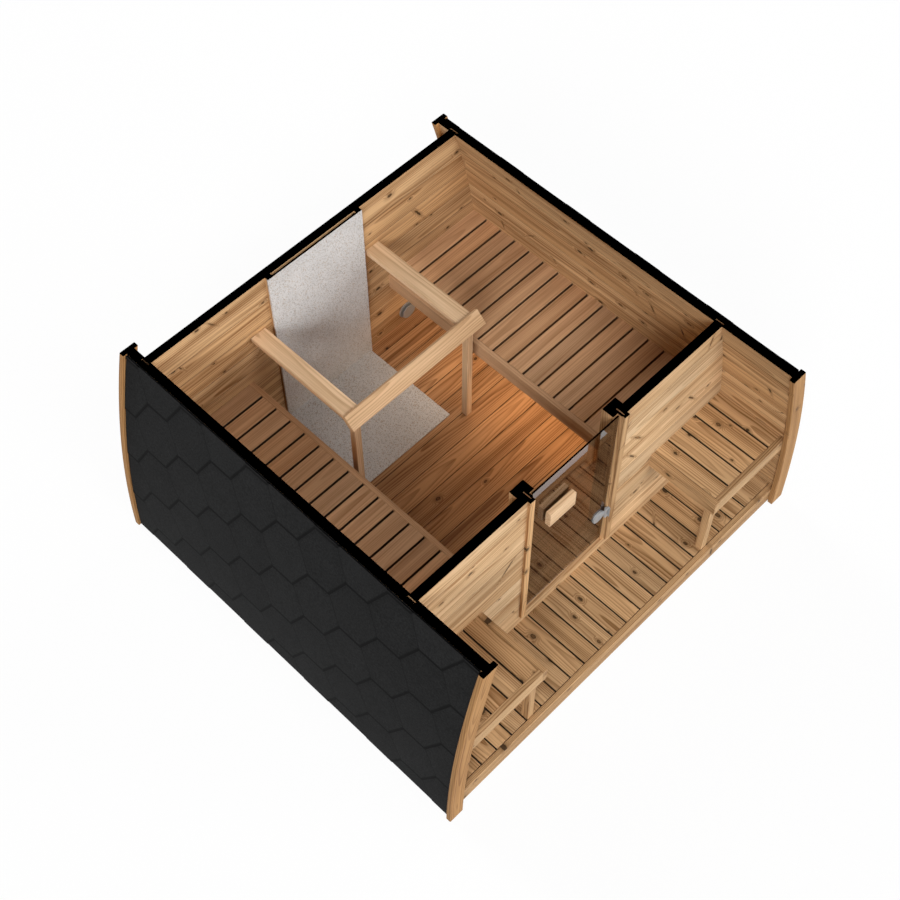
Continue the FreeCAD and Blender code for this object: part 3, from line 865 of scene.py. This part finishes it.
def shingles(word, side):
    """A backing with courses of tabs on it; its grain starts far below it, so it gets none of the painted
    shade along tab edges.
    """
    piece = Piece("shingles_%s_tabs" % word, 41 + side)
    backing = rectangle(-SKIN_END, SKIN_LOW, SKIN_END, SKIN_HIGH)
    skin_patch(piece, side, backing, BACKING_ORIGIN, lambda s: BACKING_LIFT, BACKING_THICKNESS)
    for course in range(-2, 8):
        first_y = FIRST_TAB - SHINGLE_PITCH / 2 * (course % 2)
        for column in range(-5, 3):
            shingle_tab(piece, side, first_y + SHINGLE_PITCH * column, COURSE_START + COURSE * course)
    piece.build([FELT, BLACK], "cabin", ["shingles_" + word])


# Floors
FLOOR_GAP = 1.5
FLOOR_FIRST_GAP = -122.0
FLOOR_PITCH = 111.4
FLOOR_TONGUE = (20.0, 12.0)
DECK_GAP = 6.0
DECK_FIRST_GAP = 48.8
DECK_PITCH = 97.8
DECK_FRONT = -1038.0


def interior_floor():
    piece = Piece("interior_floor_boards", 51)
    gaps = [FLOOR_FIRST_GAP + FLOOR_PITCH * k for k in range(-5, 10)]
    boards = spans(gaps, FRONT_IN, BACK_IN, FLOOR_GAP)
    down, up = FLOOR_TONGUE
    sections = [rectangle(y0, FLOOR_TOP - down, y1, FLOOR_TOP - up) for y0, y1 in tongues(boards)]
    for y0, y1 in boards:
        edges = [0, 0, WALL_EDGE, WALL_EDGE]
        sections.append(chamfered(rectangle(y0, FLOOR_TOP - PLANK, y1, FLOOR_TOP), edges))
    for section in sections:
        board(piece, "x", section, *wall_to_wall(R_INNER), 1.0)
    piece.build([FLOOR_WOOD], "cabin", ["interior_floor"])


def fitted_boards(piece, gaps, gap, start, z1, y0, side):
    """Planks along Y up to the front wall, from start to the bowed wall; on the left they are mirrored."""
    z0 = z1 - PLANK
    far = wall_x(R_INNER, z1)
    for x0, x1 in spans(gaps, start, far, gap):
        under_x0 = -wall_x(R_INNER, z0) if x0 == -far else x0
        under_x1 = wall_x(R_INNER, z0) if x1 == far else x1
        corners = [(under_x0, z0), (under_x1, z0), (x1, z1), (x0, z1)]
        edges = [SMALL_EDGE, SMALL_EDGE, EDGE, EDGE]
        if side < 0:
            corners = [(-x, z) for x, z in corners][::-1]
            edges.reverse()
        board(piece, "y", chamfered(corners, edges), y0, FRONT_OUT, 1.0)


def porch_deck():
    piece = Piece("porch_deck_boards", 53)
    gaps = [DECK_FIRST_GAP + DECK_PITCH * k for k in range(10)]
    gaps += [-g for g in gaps]
    fitted_boards(piece, gaps, DECK_GAP, -wall_x(R_INNER, DECK_TOP), DECK_TOP, DECK_FRONT, 0)
    piece.build([DECK_WOOD], "cabin", ["porch_deck"])


def porch_front_beam():
    piece = Piece("porch_front_beam_board", 54)
    section = chamfered(rectangle(-HALF_LENGTH, SIDE_BOTTOM, PORCH_IN, DECK_TOP), EDGE)
    board(piece, "x", section, *wall_to_wall(R_INNER))
    piece.build([DECK_WOOD], "cabin", ["porch_front_beam"])


# Room benches
BENCH_FRONT_X = {"left": 442.0, "right": 464.0}
BENCH_TOP = 597.0
SLAT_THICKNESS = 24.0
SLAT_GAP = 10.0
SLAT_LAST_GAP = 858.4
SLAT_PITCH = 99.4
# Strength of the painted shade in the gaps between each room bench's slats
SLAT_PAINTED_GAP_SHADE = {"left": 1.0, "right": 0.85}
BATTEN = 45.0
BATTEN_EDGE = 1.0
BATTEN_FROM_WALL = 150.0
FASCIA_HEIGHT = 90.0


def room_seat(word, side):
    piece = Piece("bench_%s_seat" % word, 61 + side)
    start = BENCH_FRONT_X[word] + PLANK
    under = BENCH_TOP - SLAT_THICKNESS
    gaps = [SLAT_LAST_GAP - SLAT_PITCH * k for k in range(15)]
    for y0, y1 in spans(gaps, FRONT_IN, BACK_IN, SLAT_GAP):
        section = chamfered(rectangle(y0, under, y1, BENCH_TOP), [SMALL_EDGE, SMALL_EDGE, EDGE, EDGE])
        board(piece, "x", section, *out_to_wall(side, start, R_INNER), SLAT_PAINTED_GAP_SHADE[word])
    for near in (start, R_INNER - ARC_X - BATTEN_FROM_WALL):
        x0, x1 = span_x(side, near, near + BATTEN)
        bar(piece, "y", (x0, FRONT_IN, under - BATTEN), (x1, BACK_IN, under), BATTEN_EDGE)
    piece.build([BENCH_WOOD], "cabin", ["bench_%s_slats" % word])


def room_fascia(word, side):
    piece = Piece("bench_%s_front" % word, 65 + side)
    x0, x1 = span_x(side, BENCH_FRONT_X[word], BENCH_FRONT_X[word] + PLANK)
    bar(piece, "y", (x0, FRONT_IN, BENCH_TOP - FASCIA_HEIGHT), (x1, BACK_IN, BENCH_TOP), EDGE)
    piece.build([BENCH_WOOD], "cabin", ["bench_%s_fascia" % word])


# Porch benches
PORCH_SEAT_TOP = 609.0
PORCH_SEAT_X = 592.0
PORCH_SEAT_GAP = 7.0
PORCH_SEAT_GAPS = (686.0, 782.0, 880.0, 979.0)
PORCH_RAIL_HEIGHT = 90.0
PORCH_LEG = 40.0


def porch_seat(word, side):
    piece = Piece("porch_bench_%s_seat" % word, 71 + side)
    fitted_boards(piece, PORCH_SEAT_GAPS, PORCH_SEAT_GAP, PORCH_SEAT_X, PORCH_SEAT_TOP, PORCH_IN, side)
    piece.build([DECK_WOOD], "cabin", ["porch_bench_%s_boards" % word])


def porch_rail(word, side):
    """The rail beside the way to the door and the one along the front."""
    piece = Piece("porch_bench_%s_frame" % word, 75 + side)
    bottom = PORCH_SEAT_TOP - PORCH_RAIL_HEIGHT
    x0, x1 = span_x(side, PORCH_SEAT_X - PLANK, PORCH_SEAT_X)
    bar(piece, "y", (x0, -HALF_LENGTH, bottom), (x1, FRONT_OUT, PORCH_SEAT_TOP), EDGE)
    section = chamfered(rectangle(-HALF_LENGTH, bottom, PORCH_IN, PORCH_SEAT_TOP), EDGE)
    board(piece, "x", section, *out_to_wall(side, PORCH_SEAT_X, R_INNER))
    piece.build([DECK_WOOD], "cabin", ["porch_bench_%s_rail" % word])


def porch_leg(word, side):
    piece = Piece("porch_bench_%s_post" % word, 79 + side)
    x0, x1 = span_x(side, PORCH_SEAT_X, PORCH_SEAT_X + PORCH_LEG)
    bar(piece, "z", (x0, PORCH_IN, DECK_TOP), (x1, PORCH_IN + PORCH_LEG, PORCH_SEAT_TOP - PLANK), EDGE)
    piece.build([DECK_WOOD], "cabin", ["porch_bench_%s_leg" % word])


# Door frame
HALF_OPENING = 245.0
LINING_OUT_X = 286.0
STOP_Y = -657.0
FRAME_IN_Y = -594.0
SILL_TOP = 235.0
JAMB_EDGE = 1.2
# Inner casing, lining, rebate and outer casing: from x to x, from y to y, and foot
JAMB_PARTS = (
    (HALF_OPENING, 329.0, FRONT_IN, FRAME_IN_Y, BASE_TOP),
    (HALF_OPENING, LINING_OUT_X, STOP_Y, FRONT_IN, BASE_TOP),
    (274.0, LINING_OUT_X, FRONT_OUT, STOP_Y, BASE_TOP),
    (278.0, 309.0, -696.5, FRONT_OUT, BASE_TOP + 19.0),
)


def door_jamb(word, side):
    piece = Piece("door_jamb_%s_boards" % word, 81 + side)
    for near, far, y0, y1, foot in JAMB_PARTS:
        x0, x1 = span_x(side, near, far)
        bar(piece, "z", (x0, y0, foot), (x1, y1, TOP), JAMB_EDGE)
    piece.build([WALL_WOOD, BLACK], "cabin", ["door_jamb_" + word])


def door_sill():
    piece = Piece("door_sill_board", 85)
    bar(piece, "x", (-HALF_OPENING, STOP_Y, BASE_TOP), (HALF_OPENING, FRAME_IN_Y, SILL_TOP), EDGE)
    piece.build([FRONT_WOOD], "cabin", ["door_sill"])


# Cement boards at the heater place
SHIELD_LEFT = -281.0
SHIELD_RIGHT = 301.0
SHIELD_FRONT = 934.0
SHIELD_BACK = 943.0
SHIELD_BATTEN = 31.0
PANEL_LOW = (-274.0, 360.0, FLOOR_TOP)
PANEL_HIGH = (292.0, SHIELD_FRONT, 155.0)
PANEL_EDGES = [0, 0, 1, 1]


def heat_shield():
    """The board is cement and the battens behind it are wood, the second of the piece's materials."""
    piece = Piece("heat_shield_board", 91)
    bar(piece, "z", (SHIELD_LEFT, SHIELD_FRONT, FLOOR_TOP), (SHIELD_RIGHT, SHIELD_BACK, TOP), 0)
    piece.paint = 1
    for x0 in (SHIELD_LEFT, SHIELD_RIGHT - SHIELD_BATTEN):
        bar(piece, "z", (x0, SHIELD_BACK, FLOOR_TOP), (x0 + SHIELD_BATTEN, BACK_IN, TOP), 0)
    piece.build([CEMENT, WALL_WOOD, BLACK], "cabin", ["heat_shield"])


def floor_panel():
    piece = Piece("floor_panel_board", 92)
    bar(piece, "x", PANEL_LOW, PANEL_HIGH, PANEL_EDGES)
    piece.build([CEMENT], "cabin", ["floor_panel"])


# Guard around the heater place: its front rail slopes back and the side rails end on its underside
GUARD_EDGE = 1.8
GUARD_SLOPE = math.radians(45)
GUARD_UP = (math.cos(GUARD_SLOPE), math.sin(GUARD_SLOPE))
GUARD_INTO = (math.sin(GUARD_SLOPE), -math.cos(GUARD_SLOPE))
GUARD_FRONT = (250.0, 889.0)
GUARD_FRONT_WIDTH = 82.0
GUARD_FRONT_HALF = 425.0
GUARD_RAIL_X = (322.0, 410.0)
GUARD_RAIL_BOTTOM = 882.0
GUARD_POST_X = (348.0, 385.0)
GUARD_POST_Y = (294.0, 331.0)


def guard_place(up, into):
    """The y and z of a point, up the front rail and into it."""
    y = GUARD_FRONT[0] + up * GUARD_UP[0] + into * GUARD_INTO[0]
    z = GUARD_FRONT[1] + up * GUARD_UP[1] + into * GUARD_INTO[1]
    return y, z


def guard_front():
    piece = Piece("guard_front_board", 95)
    section = chamfered(rectangle(0, 0, GUARD_FRONT_WIDTH, PLANK), GUARD_EDGE)
    rings = []
    grains = []
    for x in (-GUARD_FRONT_HALF, GUARD_FRONT_HALF):
        rings.append([(x, *guard_place(up, into)) for up, into in section])
        grains.append([(x, up - GUARD_FRONT_WIDTH / 2, into - PLANK / 2) for up, into in section])
    piece.loft(rings, grains)
    piece.build([GUARD_WOOD], "cabin", ["guard_front_rail"])


def rail_start(x, z):
    """Where a side rail meets the underside of the front rail."""
    under_y, under_z = guard_place(0, PLANK)
    return under_y + (z - under_z) * GUARD_UP[0] / GUARD_UP[1]


def guard_rail(word, side):
    piece = Piece("guard_rail_%s_board" % word, 97 + side)
    x0, x1 = span_x(side, *GUARD_RAIL_X)
    section = chamfered(rectangle(x0, GUARD_RAIL_BOTTOM, x1, GUARD_RAIL_BOTTOM + PLANK), GUARD_EDGE)
    board(piece, "y", section, rail_start, BACK_IN)
    piece.build([GUARD_WOOD], "cabin", ["guard_rail_" + word])


def guard_post(word, side):
    piece = Piece("guard_post_%s_bar" % word, 101 + side)
    x0, x1 = span_x(side, *GUARD_POST_X)
    y0, y1 = GUARD_POST_Y
    bar(piece, "z", (x0, y0, FLOOR_TOP), (x1, y1, GUARD_RAIL_BOTTOM), EDGE)
    piece.build([GUARD_WOOD], "cabin", ["guard_post_" + word])


# Door: pane and handles
HALF_PANE = 268.0
PANE_OUT = -671.0
PANE_IN = -663.0
PANE_BOTTOM = 211.0
PANE_EDGE = 0.8
GRIP_X = (-178.0, -16.0)
GRIP_Z = (898.0, 996.0)
GRIP_DEPTH = 29.0
GRIP_EDGE = 3.0
PIN_LENGTH = 6.5
PIN_RADIUS = 9.0
PIN_SIDES = 24


def door_glass():
    piece = Piece("door_pane", 111)
    bar(piece, "z", (-HALF_PANE, PANE_OUT, PANE_BOTTOM), (HALF_PANE, PANE_IN, TOP), PANE_EDGE)
    piece.build([GLASS, BLACK], "door", ["door_glass"])


def round_pin(piece, x, z, y0, y1):
    rings = []
    for y in (y0, y1):
        ring = []
        for k in range(PIN_SIDES):
            angle = 2 * math.pi * k / PIN_SIDES
            ring.append((x + PIN_RADIUS * math.cos(angle), y, z + PIN_RADIUS * math.sin(angle)))
        rings.append(ring)
    piece.loft(rings, rings)


def door_handle(word, face, outward, seed):
    """A block on two pins, off one face of the pane; outward is -1 on the porch side and 1 in the room."""
    piece = Piece("door_handle_%s_grip" % word, seed)
    near = face + outward * PIN_LENGTH
    y0, y1 = sorted((near, near + outward * GRIP_DEPTH))
    bar(piece, "x", (GRIP_X[0], y0, GRIP_Z[0]), (GRIP_X[1], y1, GRIP_Z[1]), GRIP_EDGE)
    for share in (0.2, 0.8):
        x = GRIP_X[0] + share * (GRIP_X[1] - GRIP_X[0])
        round_pin(piece, x, (GRIP_Z[0] + GRIP_Z[1]) / 2, *sorted((face, near)))
    piece.build([GUARD_WOOD], "door", ["door_handle_" + word])


# Metal parts keep their CAD shapes
def metal_parts():
    for node in ("door_hinge", "hinge_bracket", "air_valve"):
        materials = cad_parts[node].data.materials
        materials.clear()
        materials.append(STEEL)


# Floor bearers: a beam under the whole cabin, packed up to the floor and to the deck
PACKING_BOTTOM = WALL_BOTTOM + 0.3


def floor_bearer(node, seed):
    low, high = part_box(node)
    x0 = low.x / MM
    x1 = high.x / MM
    piece = Piece(node + "_bar", seed)
    bar(piece, "y", (x0, PORCH_IN, 0), (x1, BACK_OUT, WALL_BOTTOM), 0)
    bar(piece, "y", (x0, FRONT_IN, PACKING_BOTTOM), (x1, BACK_IN, FLOOR_TOP - PLANK), 0)
    bar(piece, "y", (x0, PORCH_IN, PACKING_BOTTOM), (x1, FRONT_OUT, DECK_TOP - PLANK), 0)
    piece.build([HIDDEN_WOOD], "cabin", [node])


def on_both_sides(*makers):
    for word, side in SIDES:
        for make in makers:
            make(word, side)


on_both_sides(side_wall)
back_wall()
front_wall_base()
on_both_sides(front_wall)
on_both_sides(trims)
on_both_sides(shingles)
interior_floor()
porch_deck()
porch_front_beam()
on_both_sides(room_seat, room_fascia)
on_both_sides(porch_seat, porch_rail, porch_leg)
on_both_sides(door_jamb)
door_sill()
heat_shield()
floor_panel()
guard_front()
on_both_sides(guard_rail, guard_post)
door_glass()
door_handle("outer", PANE_OUT, -1, 113)
door_handle("inner", PANE_IN, 1, 114)
metal_parts()
floor_bearer("floor_bearer_left", 138)
floor_bearer("floor_bearer_middle", 140)
floor_bearer("floor_bearer_right", 139)


# Studio, in metres: a floor and a world that look white but light the cabin only a little
STUDIO_HALF = 20.0
AMBIENT = 0.015


def ray_is(n, *kinds):
    """1 for rays of any of these kinds, 0 for others."""
    outputs = n.new("LightPath").outputs
    seen = outputs["Is %s Ray" % kinds[0]]
    for kind in kinds[1:]:
        seen = n.math("MAXIMUM", seen, outputs["Is %s Ray" % kind])
    return seen


def white_floor():
    """Seen as white except under the cabin, where it is a darker grey as painted shade, and a mild grey to
    the light that bounces off it.
    """
    material, n, surface = empty_material("studio_floor")
    x, y, _ = n.split(n.position())
    # Painted shade under the cabin: inside its footprint the floor loses its white glow and is seen as
    # dark grey.
    beside = n.ramp(n.math("ABSOLUTE", x), 1.10, 1.16)
    before = n.ramp(n.math("ABSOLUTE", y), 0.98, 1.04)
    seen = ray_is(n, "Camera", "Glossy", "Transmission")
    white = n.math("MULTIPLY", seen, n.math("MAXIMUM", beside, before))
    diffuse = n.new("BsdfDiffuse")
    n.link(n.mix(white, (0.28, 0.28, 0.28, 1), (0.93, 0.93, 0.93, 1)), diffuse.inputs["Color"])
    glow = n.new("Emission")
    glow.inputs["Color"].default_value = (1, 1, 1, 1)
    glow.inputs["Strength"].default_value = 1.0
    n.link(n.mix_shaders(n.math("MULTIPLY", white, 0.94), diffuse, glow), surface)
    return material


def studio_floor():
    mesh = bpy.data.meshes.new("studio_floor")
    corners = rectangle(-STUDIO_HALF, -STUDIO_HALF, STUDIO_HALF, STUDIO_HALF)
    mesh.from_pydata([(x, y, 0) for x, y in corners], [], [(0, 1, 2, 3)])
    mesh.materials.append(white_floor())
    floor = bpy.data.objects.new("studio_floor", mesh)
    bpy.context.scene.collection.objects.link(floor)


def studio_world():
    world = bpy.data.worlds.new("studio")
    bpy.context.scene.world = world
    world.use_nodes = True
    world.node_tree.nodes.clear()
    n = Nodes(world.node_tree)
    background = n.new("Background")
    background.inputs["Color"].default_value = (1.0, 1.0, 1.0, 1)
    strength = n.math("MULTIPLY_ADD", ray_is(n, "Camera", "Glossy"), 1.0 - AMBIENT, AMBIENT)
    n.link(strength, background.inputs["Strength"])
    n.link(background.outputs[0], n.new("OutputWorld").inputs["Surface"])


def direction(azimuth, elevation):
    """Towards a lamp or the camera, in degrees; azimuth 0 is before the door and grows to the left."""
    a = math.radians(azimuth)
    e = math.radians(elevation)
    return Vector((-math.sin(a) * math.cos(e), -math.cos(a) * math.cos(e), math.sin(e)))


def soft_light(name, azimuth, elevation, strength, angle=22.0):
    """A distant soft light of an angle across, all in degrees."""
    data = bpy.data.lights.new(name, "SUN")
    data.energy = math.pi * strength
    data.angle = math.radians(angle)
    lamp = bpy.data.objects.new(name, data)
    lamp.rotation_euler = direction(azimuth, elevation).to_track_quat("Z", "Y").to_euler()
    bpy.context.scene.collection.objects.link(lamp)


def bench_glow():
    """The warm strip under the right room bench, aimed down and a little towards its front."""
    data = bpy.data.lights.new("bench_glow", "AREA")
    data.shape = "RECTANGLE"
    data.size = 0.05
    data.size_y = 1.4
    data.energy = 3.1
    data.color = (1.0, 0.68, 0.40)
    lamp = bpy.data.objects.new("bench_glow", data)
    lamp.location = (0.62, 0.08, 0.50)
    lamp.rotation_euler = (0.0, math.radians(10), 0.0)
    bpy.context.scene.collection.objects.link(lamp)


studio_floor()
studio_world()
soft_light("left_light", azimuth=58, elevation=32, strength=0.66)
soft_light("right_low_light", azimuth=-40, elevation=14, strength=0.33, angle=20)
soft_light("front_low_light", azimuth=0, elevation=14, strength=0.24, angle=20)
soft_light("front_high_light", azimuth=0, elevation=50, strength=0.25, angle=25)
soft_light("back_light", azimuth=180, elevation=40, strength=0.27, angle=25)
soft_light("back_low_light", azimuth=180, elevation=12, strength=0.45)
soft_light("right_side_light", azimuth=-90, elevation=12, strength=0.40)
bench_glow()

# Camera, fitted to the photograph: place in metres, angles in degrees, focal length in pixels
CAMERA_PLACE = (-2.8245, -2.7255, 6.6947)
CAMERA_AZIMUTH = 45.299
CAMERA_ELEVATION = 57.477
CAMERA_ROLL = -0.2274
FOCAL_PIXELS = 1554.26
PHOTO_PIXELS = 900.0
SENSOR_MM = 36.0


def photo_camera():
    roll = math.radians(CAMERA_ROLL)
    back = direction(CAMERA_AZIMUTH, CAMERA_ELEVATION)
    right = (-back).cross(Vector((0, 0, 1))).normalized()
    up = right.cross(-back)
    turned_right = right * math.cos(roll) + up * math.sin(roll)
    turned_up = up * math.cos(roll) - right * math.sin(roll)
    data = bpy.data.cameras.new("camera")
    data.sensor_width = SENSOR_MM
    data.sensor_fit = "HORIZONTAL"
    data.lens = FOCAL_PIXELS * SENSOR_MM / PHOTO_PIXELS
    camera = bpy.data.objects.new("camera", data)
    turn = Matrix((turned_right, turned_up, back)).transposed().to_4x4()
    camera.matrix_world = Matrix.Translation(CAMERA_PLACE) @ turn
    bpy.context.scene.collection.objects.link(camera)
    bpy.context.scene.camera = camera


photo_camera()
bpy.context.scene.view_settings.view_transform = "Standard"
